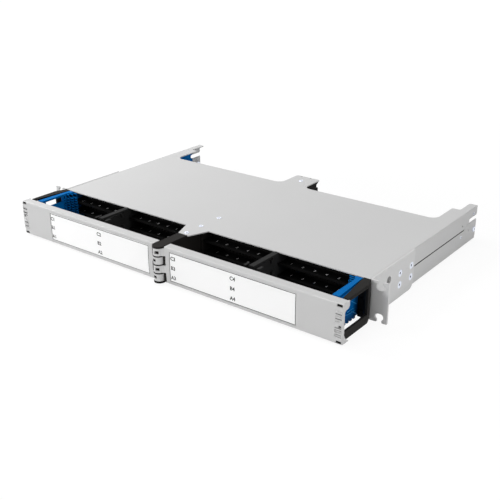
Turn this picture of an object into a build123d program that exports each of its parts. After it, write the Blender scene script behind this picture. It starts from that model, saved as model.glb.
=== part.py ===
from build123d import *
import math
import os

# Rack fibre module chassis, one unit high, with two butterfly doors.
# Millimetres. X to the right, Y to the back, Z up. The front edge of the cover is y = 0,
# the middle of the chassis is x = 0, and the underside of the tray is z = 0.

os.makedirs("parts", exist_ok=True)

# Rack face
rack_width = 482.6
ear_reach = 20.8
rack_slot_margin = 8.75
rack_hole_pitch = 31.75
ear_height = 43.6
ear_low = -1.4
ear_sheet = 2.0
ear_front_y = 0.0
ear_side_length = 91.0
ear_bend_radius = 2.5
ear_tail_radius = 9.0
ear_slot_width = 9.4
ear_slot_height = 7.2
ear_slot_mouth = 5.8
ear_hook_radius = 0.9
ear_window_radius = 4.4
ear_window_y = 35.4
ear_window_z = 27.6

# Steel body
body_depth = 256.0
body_bottom = 0.0
body_top = 42.0
sheet = 1.2
sheet_bend_radius = 1.0
seam_gap = 0.7
deck_depth = 185.0
front_tab_depth = 24.0
front_tab_root = 16.4
front_tab_tip = 7.2
rear_tab_half = 17.8
rear_tab_reach = 38.0
rear_arm_width = 20.1
rear_arm_tip = 10.0
rear_arm_tip_depth = 27.0
corner_blend = 10.0
corner_small = 2.5
notch_depth = 21.0
notch_low_z = 25.0
notch_high_z = 30.6
seam_jog_length = 5.0
seam_jog_margin = 6.0
rear_corner_radius = 5.0
side_hole_radius = 1.1
side_hole_margin = 40.0
side_screw_margin = 6.5
side_screw_drop = 7.4
side_slot_length = 5.0
seam_lip_start = 95.0
seam_lip_low = 8.0
seam_lip_high = 6.0
nick_x = (-9.0, 5.0)
nick_width = 3.0
nick_depth = 2.6

# Module bays
tier_count = 3
tier_pitch = 13.3
side_room = 9.3
divider_half = 8.8
module_gap = 0.4
module_floor = 1.7
module_front_y = -1.0
module_block_y = 14.5
module_back_room = 17.0
module_block_height = 10.6
module_lip = 0.5
port_count = 6
port_pitch = 14.5
port_width = 12.4
port_height = 7.4
port_recess = 2.5
port_sill = 0.7
rail_width = 2.2
rail_thickness = 1.2
bay_wall = 2.0

# Front zone
front_top = 41.8
front_bottom = 0.4
mid_arm_width = 6.0
mid_arm_front = -44.0
mid_web = 2.4
finger_offset = 8.6
finger_size = 3.0
finger_low_z = 9.6
finger_bar_z = 29.6
fork_notch_radius = 3.0
fork_notch_depth = 3.6
fork_notch_z = 34.6
fork_cross_y = 23.0
guide_side_room = 0.2
guide_wall = 2.4
guide_front_y = -49.0
rib_low_front = (-28.0, 11.5)
rib_low_rear = (-11.0, 9.8)
rib_middle_front = (-26.4, 14.0)
rib_middle_rear = (-14.3, 13.8)
rib_foot_front = (-18.0, 12.0)
rib_foot_rear = (-5.5, 3.4)
rib_top_front = (-19.0, 23.3)
rib_top_rear = (-9.0, 16.5)
guide_splay = 2.6
guide_rail_width = 5.1
guide_rail_thickness = 2.2
guide_rail_tab = 2.6
guide_ledge_width = 2.2
guide_ledge_thickness = 1.3
guide_window_low = 32.8
guide_window_front = -43.5
guide_window_back = -18.0
guide_tooth_pitch = 6.0
comb_low = 11.0
comb_tooth_pitch = 2.6
comb_tooth_depth = 1.3
comb_thickness = 1.0
arm_wall = 2.2
arm_reach = 6.6
arm_front_y = -49.4
arm_low_front_y = -55.0
arm_bend_y = -14.0
arm_edge_gap = 0.3
arm_low_height = 10.7
arm_rise = 0.4
arm_strip = 2.5
arm_bevel = 1.2
arm_strip_width = 6.2
arm_shoulder = 1.5
arm_plate_y = -5.4
arm_plate_seam = 0.9
flange_clearance = 0.5
tongue_width = 3.6
tongue_thickness = 1.1

# Doors and hinge
door_overhang = 8.6
door_low = 0.4
door_high = 42.6
door_edge_y = -62.4
door_bulge = 0.8
door_wall = 2.0
door_flange = 1.2
door_flange_depth = 10.2
door_end_depth = 11.3
door_end_shallow = 3.2
door_end_wall = 1.5
door_inner_x = 8.0
door_notch_x = 9.7
door_corner_radius = 1.4
door_rib_offsets = (-50.0, 5.0, 60.0)
door_rib_depth = 4.6
label_left_x = 15.5
label_end_room = 51.7
label_low = 4.6
label_high = 38.0
label_recess = 0.6
label_thickness = 0.45
label_gap = 0.35
slot_end_room = 3.8
slot_length = 6.0
slot_height = 2.7
slot_inset = 0.8
grip_width = 7.4
grip_end_room = 0.8
ridge_drops = (8.0, 13.0)
ridge_height = 1.6
ridge_rise = 0.9
groove_spans = ((7.3, 10.4), (11.9, 15.0), (16.5, 17.6))
groove_depth = 0.9
lip_x_room = 5.1
lip_radius = 3.5
lip_low = 22.2
lip_height = 1.7
lip_rise = 1.8
peg_hole_width = 3.0
peg_hole_low = 17.9
peg_hole_height = 2.0
hinge_y = -62.9
bracket_wall_y = -55.5
bracket_wall = 1.8
bracket_bend = 1.0
arm_thickness = 1.8
nose_radius = 6.5
knuckle_radius = 6.0
knuckle_count = 4
knuckle_gap = 1.3
knuckle_end_gap = 0.4
pin_radius = 1.5
pin_running = 0.05
pin_fit = 0.02
pin_skin = 0.6
knuckle_hole_start = -0.8
knuckle_hole_width = 5.0
knuckle_hole_height = 3.4

# Fasteners
round_flats = 24
hidden_flats = 12
ear_screw_end_room = 6.4
ear_screw_pitch = 24.6
ear_screw_z = (13.1, 26.3)
ear_screw_head = 4.0
ear_screw_shank = 1.9
cover_screw_front_y = (-17.9, 6.7, 38.2)
cover_screw_rear_room = 17.9
cover_screw_head = 2.8
cover_screw_shank = 1.4
cover_screw_rise = 0.6
side_screw_head = 3.2
side_screw_rise = 1.6
side_nut = 4.0
screw_length = 6.0
screw_running = 0.1

# Worked-out sizes
half = rack_width / 2 - ear_reach
inner_half = half - sheet
rack_hole_span = rack_width - 2 * rack_slot_margin
floor_top = body_bottom + sheet
cover_under = body_top - sheet
ear_high = ear_low + ear_height
ear_mid_z = ear_low + ear_height / 2
seam_z = (body_bottom + body_top) / 2
module_pitch = (half - side_room - divider_half) / 2
mid_x = divider_half + module_pitch
side_x = divider_half + 2 * module_pitch
guide_outer_x = side_x - guide_side_room
guide_inner_x = guide_outer_x - guide_wall
guide_step_y = module_front_y - 0.5
module_back_y = deck_depth - module_back_room
bay_back_y = module_back_y + bay_wall
rear_tab_back = deck_depth + rear_tab_reach
arm_inner = half - rear_arm_width
arm_tip_inner = half - rear_arm_tip
arm_step_y = body_depth - rear_arm_tip_depth
notch_front_y = body_depth - notch_depth
seam_jog_end = notch_front_y - seam_jog_margin
seam_jog_start = seam_jog_end - seam_jog_length
seam_lip_end = seam_jog_start - seam_jog_length
side_hole_y = body_depth - side_hole_margin
side_screw_y = body_depth - side_screw_margin
side_screw_z = seam_z - side_screw_drop
fork_back_y = rear_tab_back - 1.0
arm_outer_x = half + arm_reach
door_mid = (door_low + door_high) / 2
door_half_span = half + door_overhang
door_flange_back = door_edge_y + door_flange_depth
door_end_back = door_edge_y + door_end_depth
label_right_x = door_half_span - label_end_room
slot_x = door_half_span - slot_end_room
grip_end = door_half_span - grip_end_room
grip_x = grip_end - grip_width
cover_screw_y = cover_screw_front_y + (rear_tab_back - cover_screw_rear_room,)
ear_screw_rear_y = ear_front_y + ear_side_length - ear_screw_end_room
ear_screw_front_y = ear_screw_rear_y - ear_screw_pitch
ear_screw_places = [(y, z) for y in (ear_screw_front_y, ear_screw_rear_y) for z in ear_screw_z]


def write(name, shape):
    export_step(shape, "parts/" + name + ".step")


def box(x0, x1, y0, y1, z0, z1):
    block = Box(abs(x1 - x0), abs(y1 - y0), abs(z1 - z0))
    return Pos((x0 + x1) / 2, (y0 + y1) / 2, (z0 + z1) / 2) * block


def plate(points, z0, z1):
    face = make_face(Polyline(*points, close=True))
    return Pos(0, 0, z0) * extrude(face, z1 - z0)


def side_plate(points, x0, x1):
    face = make_face(Plane.YZ * Polyline(*points, close=True))
    return Pos(x0, 0, 0) * extrude(face, x1 - x0, dir=(1, 0, 0))


def mirrored(shape):
    return mirror(shape, about=Plane.YZ)


# Clearance hole that is hidden under a head
def hidden_hole(radius, length):
    corner = (radius + screw_running) / math.cos(math.pi / hidden_flats)
    return extrude(RegularPolygon(corner, hidden_flats), length / 2, both=True)


# Hidden shank below z = 0
def shank_below(radius, length):
    return extrude(RegularPolygon(radius, hidden_flats), -length)


# Countersunk form below z = 0, wide at the top
def sunk_form(radius, narrow, depth):
    wide = RegularPolygon(radius, round_flats)
    return loft([wide, Pos(0, 0, -depth) * RegularPolygon(narrow, round_flats)])


def vertical_edges_near(shape, places, reach=0.6):
    found = []
    for edge in shape.edges().filter_by(Axis.Z):
        middle = edge.center()
        for px, py in places:
            if abs(abs(middle.X) - px) < reach and abs(middle.Y - py) < reach:
                found.append(edge)
    return found


# Deck outline shared by the cover and the floor of the tray
def deck(z0, z1):
    outline = [
        (-half, 0), (-front_tab_root, 0), (-front_tab_tip, -front_tab_depth),
        (front_tab_tip, -front_tab_depth), (front_tab_root, 0), (half, 0),
        (half, body_depth), (arm_tip_inner, body_depth), (arm_tip_inner, arm_step_y),
        (arm_inner, arm_step_y), (arm_inner, deck_depth), (rear_tab_half, deck_depth),
        (rear_tab_half, rear_tab_back), (-rear_tab_half, rear_tab_back),
        (-rear_tab_half, deck_depth), (-arm_inner, deck_depth), (-arm_inner, arm_step_y),
        (-arm_tip_inner, arm_step_y), (-arm_tip_inner, body_depth), (-half, body_depth),
    ]
    shape = plate(outline, z0, z1)
    wide = [(arm_inner, deck_depth), (rear_tab_half, deck_depth)]
    shape = fillet(vertical_edges_near(shape, wide), corner_blend)
    small = [(arm_inner, arm_step_y), (arm_tip_inner, arm_step_y), (rear_tab_half, rear_tab_back),
             (front_tab_tip, -front_tab_depth), (arm_tip_inner, body_depth)]
    for place in small:
        shape = fillet(vertical_edges_near(shape, [place]), corner_small)
    return shape


# Rounds the folds between the deck and the side walls
def folded(shape, face_z):
    bends = [edge for edge in shape.edges().filter_by(Axis.Y)
             if abs(edge.center().Z - face_z) < 0.01 and abs(abs(edge.center().X) - half) < 0.1]
    return fillet(bends, sheet_bend_radius)


def rounded_rear(wall, radius):
    corners = wall.edges().filter_by(Axis.X).filter_by_position(Axis.Y, body_depth - 0.1, body_depth + 0.1)
    return fillet(corners.sort_by(Axis.Z)[:1], radius)


def side_slot(y, z, width):
    slot = Pos(half - sheet / 2, y, z) * Rot(0, 90, 0) * SlotOverall(side_slot_length, width)
    return extrude(slot, sheet, both=True)


def cover_side():
    low = seam_z + seam_gap / 2
    jog = notch_low_z + seam_gap
    high = body_top - sheet_bend_radius / 2
    wall = side_plate([
        (0, low), (seam_jog_start, low), (seam_jog_end, jog), (notch_front_y, jog),
        (notch_front_y, notch_high_z), (body_depth, notch_high_z), (body_depth, high), (0, high),
    ], inner_half, half)
    wall = rounded_rear(wall, rear_corner_radius / 2)
    return wall - side_slot(side_screw_y - 4, notch_high_z + 3.2, 2.4)


# The tray wall carries a lip that backs the seam
def tray_side():
    high = seam_z - seam_gap / 2
    low = body_bottom + sheet_bend_radius / 2
    wall = side_plate([
        (0, low), (body_depth, low), (body_depth, notch_low_z),
        (seam_jog_end, notch_low_z), (seam_jog_start, high), (0, high),
    ], inner_half, half)
    wall = rounded_rear(wall, rear_corner_radius) - side_slot(notch_front_y, seam_z - 4.0, 1.6)
    lip_inner = inner_half - sheet
    lip = box(lip_inner, inner_half, seam_lip_start, seam_lip_end, seam_z - seam_lip_low, high)
    backing = box(lip_inner, inner_half - 0.05, seam_lip_start, seam_lip_end, high, seam_z + seam_lip_high)
    return wall + lip + backing


def side_holes(places):
    holes = []
    for y, z, radius in places:
        for side in (-1, 1):
            holes.append(Pos(side * half, y, z) * Rot(0, 90, 0) * hidden_hole(radius, 4 * sheet))
    return holes


def body_screw_holes(low, high):
    return [(y, z, ear_screw_shank) for y, z in ear_screw_places if low < z < high]


def top_cover():
    wall = cover_side()
    shape = folded(deck(cover_under, body_top) + wall + mirrored(wall), body_top)
    for y in cover_screw_y:
        shape = shape - Pos(0, y, body_top) * hidden_hole(cover_screw_shank, 4 * sheet)
    for x in nick_x:
        shape = shape - box(x - nick_width / 2, x + nick_width / 2, rear_tab_back - nick_depth,
                            rear_tab_back + 1, cover_under - 1, body_top + 1)
    marks = [(side_hole_y, notch_low_z + 2.6, side_hole_radius)]
    for cut in side_holes(body_screw_holes(seam_z, body_top) + marks):
        shape = shape - cut
    return shape


def base_tray():
    wall = tray_side()
    shape = folded(deck(body_bottom, floor_top) + wall + mirrored(wall), body_bottom)
    rear = [(side_screw_y, side_screw_z, ear_screw_shank)]
    for cut in side_holes(body_screw_holes(body_bottom, seam_z) + rear):
        shape = shape - cut
    return shape


# Rack ears, each with two slots that open at the top and bottom edges
def rack_slot(z, opening):
    slot = Pos(rack_hole_span / 2, ear_front_y + ear_sheet / 2, z) * Rot(90, 0, 0) * SlotOverall(
        ear_slot_width, ear_slot_height)
    cut = extrude(slot, ear_sheet, both=True)
    edge_z = ear_low if opening < 0 else ear_high
    half_mouth = ear_slot_mouth / 2
    centre = rack_hole_span / 2
    mouth = box(centre - half_mouth, centre + half_mouth, ear_front_y - 1, ear_front_y + 2 * ear_sheet,
                min(z, edge_z - 1), max(z, edge_z + 1))
    return cut + mouth


def ear():
    outer = half + ear_sheet
    back = ear_front_y + ear_side_length
    side = box(half, outer, ear_front_y, back, ear_low, ear_high)
    flange = box(half, rack_width / 2, ear_front_y, ear_front_y + ear_sheet, ear_low, ear_high)
    shape = side + flange
    tail = shape.edges().filter_by(Axis.X).filter_by_position(Axis.Y, back - 0.1, back + 0.1)
    shape = fillet(tail.sort_by(Axis.Z)[:1], ear_tail_radius)
    shape = fillet(vertical_edges_near(shape, [(half, ear_front_y)]), ear_bend_radius)
    for opening in (-1, 1):
        shape = shape - rack_slot(ear_mid_z + opening * rack_hole_pitch / 2, opening)
    hooks = []
    for edge in shape.edges().filter_by(Axis.Y):
        middle = edge.center()
        at_mouth = abs(abs(middle.X - rack_hole_span / 2) - ear_slot_mouth / 2) < 0.1
        at_edge = middle.Z < ear_low + 0.1 or middle.Z > ear_high - 0.1
        at_tip = abs(middle.X - rack_width / 2) < 0.1
        if (at_mouth and at_edge) or at_tip:
            hooks.append(edge)
    shape = fillet(hooks, ear_hook_radius)
    window = Cylinder(ear_window_radius, 6 * ear_sheet)
    shape = shape - Pos(half, ear_window_y, ear_window_z) * Rot(0, 90, 0) * window
    for y, z in ear_screw_places:
        sink = sunk_form(ear_screw_head + screw_running, ear_screw_shank + screw_running, ear_sheet)
        shape = shape - Pos(outer, y, z) * Rot(0, 90, 0) * sink
    return shape


def ear_screws():
    screws = []
    for y, z in ear_screw_places:
        head = sunk_form(ear_screw_head, ear_screw_shank, ear_sheet)
        screw = head + shank_below(ear_screw_shank - 0.05, screw_length)
        screws.append(Pos(half + ear_sheet - 0.05, y, z) * Rot(0, 90, 0) * screw)
    return screws


# Raised head above z = 0 on a shank below it
def pan_screw(head, shank, rise, length):
    return extrude(RegularPolygon(head, round_flats), rise) + shank_below(shank, length)


def cover_screws():
    screws = []
    for y in cover_screw_y:
        screw = pan_screw(cover_screw_head, cover_screw_shank, cover_screw_rise, screw_length)
        screws.append(Pos(0, y, body_top) * screw)
    return screws


# Each rear side screw has a nut behind the wall
def side_screws():
    screws = []
    for side in (-1, 1):
        screw = pan_screw(side_screw_head, ear_screw_shank, side_screw_rise, sheet + 2.5)
        nut = Pos(0, 0, -sheet) * extrude(RegularPolygon(side_nut, 6), -2.0)
        screws.append(Pos(side * half, side_screw_y, side_screw_z) * Rot(0, side * 90, 0) * (screw + nut))
    return screws


# Rails that carry the modules of the upper tiers
def rails(x_face, direction):
    x1 = x_face + direction * rail_width
    shape = []
    for tier in range(1, tier_count):
        top = floor_top + tier * tier_pitch
        shape.append(box(min(x_face, x1), max(x_face, x1), 0, module_back_y, top - rail_thickness, top))
    return shape


def fork_wall(x0, x1, y0):
    wall = box(x0, x1, y0, fork_back_y, floor_top, cover_under)
    notch_y = fork_back_y - fork_notch_depth + fork_notch_radius
    notch = Rot(0, 90, 0) * Cylinder(fork_notch_radius, 2 * abs(x1 - x0))
    notch = Pos((x0 + x1) / 2, notch_y, fork_notch_z) * notch
    tips = wall.edges().filter_by(Axis.X).filter_by_position(Axis.Y, fork_back_y - 0.1, fork_back_y + 0.1)
    return fillet(tips, 2.0) - notch


def screw_bore(y):
    depth = screw_length + 1.0
    return Pos(0, y, body_top - depth / 2) * hidden_hole(cover_screw_shank, depth)


def centre_divider():
    face = divider_half - module_gap
    wing = rear_tab_half - 2.4
    front = module_front_y - bay_wall
    shape = box(-face, -face + bay_wall, front, bay_back_y, floor_top, cover_under)
    shape = shape + box(face - bay_wall, face, front, bay_back_y, floor_top, cover_under)
    shape = shape + box(-face, face, front, front + bay_wall, floor_top, cover_under)
    shape = shape + box(-wing, wing, bay_back_y - bay_wall, bay_back_y, floor_top, cover_under)
    fork = fork_wall(wing - bay_wall, wing, bay_back_y - bay_wall)
    shape = shape + fork + mirrored(fork)
    # Screw posts, each as wide as the walls that carry it
    for y in cover_screw_y[1:]:
        post_half = wing if y > bay_back_y else face
        shape = shape + box(-post_half, post_half, y - 4, y + 4, floor_top, cover_under) - screw_bore(y)
    for rail in rails(face, 1) + rails(-face, -1):
        shape = shape + rail
    # Front bead, and the bar with two snap tips that hold the rear tab of the cover
    shape = shape + box(-face - 0.8, face + 0.8, front, front + 1.4, floor_top, cover_under)
    snap_back = rear_tab_back - 1.0
    shape = shape + box(-wing, wing, snap_back - 2.0, snap_back, cover_under - 2.6, cover_under)
    for x in nick_x:
        reach = nick_width / 2 - 0.3
        shape = shape + box(x - reach, x + reach, snap_back - 1.3, snap_back, cover_under, body_top - 0.1)
    return shape


def mid_divider():
    left = mid_x - mid_web / 2
    right = mid_x + mid_web / 2
    shape = side_plate([
        (mid_arm_front, front_bottom), (0, front_bottom), (0, floor_top), (module_back_y, floor_top),
        (module_back_y, cover_under), (-0.4, cover_under), (-0.4, front_top), (mid_arm_front, front_top),
    ], left, right)
    shape = shape - box(left - 1, right + 1, mid_arm_front + 8, -9, front_top - 4.0, front_top - 2.2)
    arm_half = mid_arm_width / 2
    arm_back = module_front_y - module_gap
    for z in (front_top - 2.0, front_bottom):
        shape = shape + box(mid_x - arm_half, mid_x + arm_half, mid_arm_front, arm_back, z, z + 2.0)
    # Cross bars with two upright fingers that hold the jumpers back
    finger_back = mid_arm_front + finger_size
    finger_top = front_top - 1.2
    reach = finger_offset + finger_size / 2
    for z in (finger_bar_z, finger_low_z):
        shape = shape + box(mid_x - reach, mid_x + reach, mid_arm_front, finger_back, z, z + 2.4)
    for x in (mid_x - finger_offset, mid_x + finger_offset):
        x0 = x - finger_size / 2
        x1 = x + finger_size / 2
        shape = shape + box(x0, x1, mid_arm_front, finger_back, finger_low_z, finger_top)
        shape = shape + box(x0, x1, mid_arm_front + 1.5, mid_arm_front + 7.5, finger_top - 2.2, finger_top)
    # Blocks that guide the jumpers of each tier round the web
    for tier in range(tier_count):
        z = floor_top + tier * tier_pitch + 8.0
        shape = shape + box(mid_x - 3.7, mid_x + 3.7, -14.0, -10.0, z - 2.0, z + 2.0)
    for rail in rails(right, 1) + rails(left, -1):
        shape = shape + rail
    return shape


def guide_rib(front, rear):
    y0, z0 = front
    y1, z1 = rear
    length = math.hypot(y1 - y0, z1 - z0)
    angle = math.degrees(math.atan2(z1 - z0, y1 - y0))
    return Pos(guide_outer_x + 0.3, (y0 + y1) / 2, (z0 + z1) / 2) * Rot(angle, 0, 0) * Box(1.0, length, 1.4)


# Upright comb inside the guide, toothed so that each jumper stays at its level
def comb(y, reach):
    high = front_top - 1.0
    teeth = int((high - comb_low) / comb_tooth_pitch)
    points = [(guide_inner_x + 0.2, comb_low)]
    for index in range(teeth):
        z = comb_low + index * comb_tooth_pitch
        points.append((reach, z))
        points.append((reach, z + comb_tooth_pitch / 2))
        points.append((reach + comb_tooth_depth, z + comb_tooth_pitch * 0.75))
    points.append((reach, high))
    points.append((guide_inner_x + 0.2, high))
    face = make_face(Plane.XZ * Polyline(*points, close=True))
    return Pos(0, y, 0) * extrude(face, comb_thickness / 2, both=True)


def side_guide():
    low = front_bottom + 2.2
    shape = box(guide_inner_x, guide_outer_x, guide_front_y, guide_step_y, low, front_top)
    shape = shape - box(guide_inner_x - 1, guide_outer_x + 1, guide_window_front, guide_window_back,
                        guide_window_low, front_top - guide_rail_thickness)
    # Splayed rail with a tab at its rear and a lower ledge along its outer side
    rail_x0 = guide_inner_x - 0.2
    rail_x1 = rail_x0 + guide_rail_width
    rail_low = front_top - guide_rail_thickness
    tab_y = guide_step_y - 2.4
    shape = shape + plate([
        (rail_x0 - guide_rail_tab, guide_step_y), (rail_x1, guide_step_y),
        (rail_x1 + guide_splay, guide_front_y), (rail_x0 + guide_splay, guide_front_y),
        (rail_x0 + 0.4, tab_y - 4.0), (rail_x0 - guide_rail_tab, tab_y),
    ], rail_low, front_top)
    ledge_back = arm_plate_y - 1.2
    shape = shape + plate([
        (rail_x1 - 1.0, ledge_back), (rail_x1 + guide_ledge_width - 1.6, ledge_back),
        (rail_x1 + guide_splay + guide_ledge_width, guide_front_y),
        (rail_x1 + guide_splay - 1.5, guide_front_y),
    ], rail_low - guide_ledge_thickness, rail_low + 0.1)
    for y, depth in ((-14.5, 1.6), (-10.4, 4.6), (-6.3, 7.1), (-2.3, 9.6)):
        shape = shape + comb(y, guide_inner_x - depth)
    tooth_count = int((guide_step_y - guide_front_y) / guide_tooth_pitch)
    for index in range(tooth_count):
        y = guide_front_y + guide_tooth_pitch * (index + 0.5)
        shape = shape + box(guide_inner_x, guide_outer_x, y - 1.6, y + 1.6, front_bottom, low + 0.4)
    shape = shape + guide_rib(rib_low_front, rib_low_rear)
    shape = shape + guide_rib(rib_middle_front, rib_middle_rear)
    shape = shape + guide_rib(rib_foot_front, rib_foot_rear)
    shape = shape + guide_rib(rib_top_front, rib_top_rear)
    # Bay wall beside the modules and the forked tail behind them
    face = side_x + module_gap
    tail = side_x - 5.0
    cross_end = inner_half - sheet - 0.3
    outer = face + bay_wall
    bay_front_y = guide_step_y - bay_wall
    shape = shape + box(guide_inner_x, outer, bay_front_y, guide_step_y, floor_top, cover_under)
    shape = shape + box(face, outer, bay_front_y, bay_back_y, floor_top, cover_under)
    shape = shape + box(tail - bay_wall, outer, bay_back_y - bay_wall, bay_back_y, floor_top, cover_under)
    shape = shape + fork_wall(tail - bay_wall, tail, bay_back_y - bay_wall)
    for y in (ear_screw_front_y - 20.0, seam_lip_start + 25.0):
        shape = shape + box(face, cross_end, y, y + bay_wall, floor_top, cover_under)
    for z in (floor_top, cover_under - bay_wall):
        shape = shape + box(face, inner_half, 18.0, bay_back_y, z, z + bay_wall)
    for rail in rails(face, -1):
        shape = shape + rail
    return shape


# Open black arm outside the guide: a root wall, a thin top strip and a low L that ends beside the door
def side_arm():
    root = inner_half
    inner = arm_outer_x - arm_wall
    low = door_low
    top = front_top + arm_rise
    strip_low = top - arm_strip
    sweep = [
        (half + arm_shoulder, -arm_edge_gap), ((half + arm_shoulder + arm_outer_x) / 2 - 0.2, -6.0),
        (arm_outer_x, arm_bend_y),
    ]
    wall = plate([(root, 16.0), (root, -arm_edge_gap)] + sweep + [
        (arm_outer_x, arm_low_front_y), (inner, arm_low_front_y), (inner, arm_bend_y - 0.6),
        (root - arm_wall, arm_plate_y + 0.4), (root - arm_wall, 16.0),
    ], low, strip_low)
    wall = wall - box(inner - 4, arm_outer_x + 1, arm_low_front_y - 1, arm_bend_y,
                      low + arm_low_height, strip_low + 1)
    strip_inner = arm_outer_x - arm_strip_width
    floor = plate([
        (root - 3.0, arm_plate_y - 0.8), (root, -1.0), (inner + 0.2, arm_bend_y),
        (inner + 0.2, arm_low_front_y), (strip_inner + 1.6, arm_low_front_y),
    ], low, low + 2.0)
    wall = wall + floor
    bottom = [edge for edge in wall.edges().filter_by(Axis.Y)
              if abs(edge.center().Z - low) < 0.01 and abs(edge.center().X - arm_outer_x) < 0.01]
    wall = chamfer(bottom, arm_bevel)
    wall = wall - box(inner - 8, arm_outer_x + 1, arm_low_front_y - 1, door_flange_back + 0.4,
                      low - 1, door_low + door_flange + flange_clearance)
    strip = plate(sweep + [
        (arm_outer_x, arm_front_y), (strip_inner, arm_front_y),
        (guide_outer_x + 3.2, -2.6), (guide_outer_x + 3.2, -arm_edge_gap),
    ], strip_low, top)
    crest = []
    for edge in strip.edges():
        middle = edge.center()
        if abs(middle.Z - top) < 0.01 and middle.X > half + 2 and middle.Y > arm_front_y + 1:
            crest.append(edge)
    strip = chamfer(crest, arm_bevel)
    shape = wall + strip
    # The root reaches between the deck and the floor of the body
    shape = shape - box(root - 4, root + 1, -0.2, 17.0, low - 1, floor_top + 0.1)
    shape = shape - box(root - 4, root + 1, -0.2, 17.0, cover_under - 0.1, top + 1)
    panel_top = front_top - guide_rail_thickness - module_gap
    panel = box(guide_outer_x + module_gap, root, arm_plate_y, arm_plate_y + 1.5, floor_top, panel_top)
    for tier in range(1, tier_count):
        z = floor_top + tier * tier_pitch - tier_pitch / 2 + module_floor
        panel = panel - box(guide_outer_x, root, arm_plate_y - 1, arm_plate_y + arm_plate_seam,
                            z - 0.45, z + 0.45)
    shape = shape + panel
    # Tongues that reach into the slots of the closed door
    inset = slot_inset + slot_height / 2
    tongue_x0 = slot_x - tongue_width / 2
    for z, front in ((door_low + inset, arm_low_front_y), (door_high - inset, arm_front_y)):
        shape = shape + box(tongue_x0, tongue_x0 + tongue_width, door_edge_y + 0.6, front + 2.0,
                            z - tongue_thickness / 2, z + tongue_thickness / 2)
    return shape


# Module with a numbered shelf in front of its row of ports
def module(column, tier):
    near = mid_x - mid_web / 2 - module_gap
    far = mid_x + mid_web / 2 + module_gap
    x0, x1 = ((divider_half + module_gap, near), (far, side_x - module_gap))[column]
    z0 = floor_top + tier * tier_pitch
    z1 = z0 + module_floor
    shape = box(x0, x1, module_front_y, module_back_y, z0, z1)
    shape = shape + box(x0, x1, module_front_y, module_front_y + 0.9, z0, z1 + module_lip)
    shape = shape + box(x0 + rail_width, x1 - rail_width, module_block_y, module_back_y,
                        z1, z0 + module_block_height)
    middle = divider_half + (column + 0.5) * module_pitch
    sill = z1 + port_sill
    for index in range(port_count):
        x = middle + (index - (port_count - 1) / 2) * port_pitch
        shape = shape - box(x - port_width / 2, x + port_width / 2, module_block_y - 1,
                            module_block_y + port_recess, sill, sill + port_height)
    return shape


# Hinge carrier: a hollow block behind the knuckles and the two arms that hold the pin
def hinge_bracket():
    low = door_low
    high = door_high
    tab_front = -front_tab_depth - 0.3
    rear = module_front_y - bay_wall - 0.2
    shape = side_plate([
        (rear, floor_top), (rear, cover_under), (tab_front, cover_under), (tab_front, high),
        (hinge_y, high), (hinge_y, high - arm_thickness), (bracket_wall_y, high - arm_thickness),
        (bracket_wall_y, low + arm_thickness), (hinge_y, low + arm_thickness), (hinge_y, low),
        (tab_front, low), (tab_front, floor_top),
    ], -nose_radius, nose_radius)
    inside = [edge for edge in shape.edges().filter_by(Axis.X)
              if abs(edge.center().Y - bracket_wall_y) < 0.1]
    shape = fillet(inside, bracket_bend)
    hollow = nose_radius - bracket_wall
    hollow_low = floor_top + bracket_wall
    hollow_high = cover_under - bracket_wall
    shape = shape - box(-hollow, hollow, bracket_wall_y + bracket_wall, rear + 1, hollow_low, hollow_high)
    post_y = cover_screw_y[0]
    shape = shape + box(-hollow, hollow, post_y - 4, post_y + 4, hollow_low, hollow_high)
    for z in (low, high - arm_thickness):
        shape = shape + Pos(0, hinge_y, z + arm_thickness / 2) * Cylinder(nose_radius, arm_thickness)
    bore_low = low + pin_skin - 0.05
    bore_high = high - pin_skin + 0.05
    bore = Pos(0, hinge_y, (bore_low + bore_high) / 2) * Cylinder(pin_radius + pin_fit, bore_high - bore_low)
    return shape - bore - screw_bore(post_y)


def hinge_pin():
    low = door_low + pin_skin
    high = door_high - pin_skin
    return Pos(0, hinge_y, (low + high) / 2) * Cylinder(pin_radius, high - low)


# Front face of a door: an arc in the YZ plane
def face_y(z, depth=0.0):
    half_height = (door_high - door_low) / 2
    radius = (half_height ** 2 + door_bulge ** 2) / (2 * door_bulge)
    centre_y = door_edge_y - door_bulge + radius
    offset = z - door_mid
    return centre_y - math.sqrt((radius - depth) ** 2 - offset ** 2)


def arc_band(x0, x1, z0, z1, depth0, depth1):
    middle = (z0 + z1) / 2
    front = [(face_y(z, depth0), z) for z in (z0, middle, z1)]
    back = [(face_y(z, depth1), z) for z in (z1, middle, z0)]
    outline = Curve([
        ThreePointArc(*front), Line(front[2], back[0]), ThreePointArc(*back), Line(back[2], front[0]),
    ])
    face = make_face(Plane.YZ * outline)
    return Pos(x0, 0, 0) * extrude(face, x1 - x0, dir=(1, 0, 0))


# Height range of each knuckle between the two bracket arms, counted from the top
def knuckle_span(index):
    room = door_high - door_low - 2 * arm_thickness - 2 * knuckle_end_gap
    height = (room - (knuckle_count - 1) * knuckle_gap) / knuckle_count
    top = door_high - arm_thickness - knuckle_end_gap - index * (height + knuckle_gap)
    return top - height, top


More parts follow.
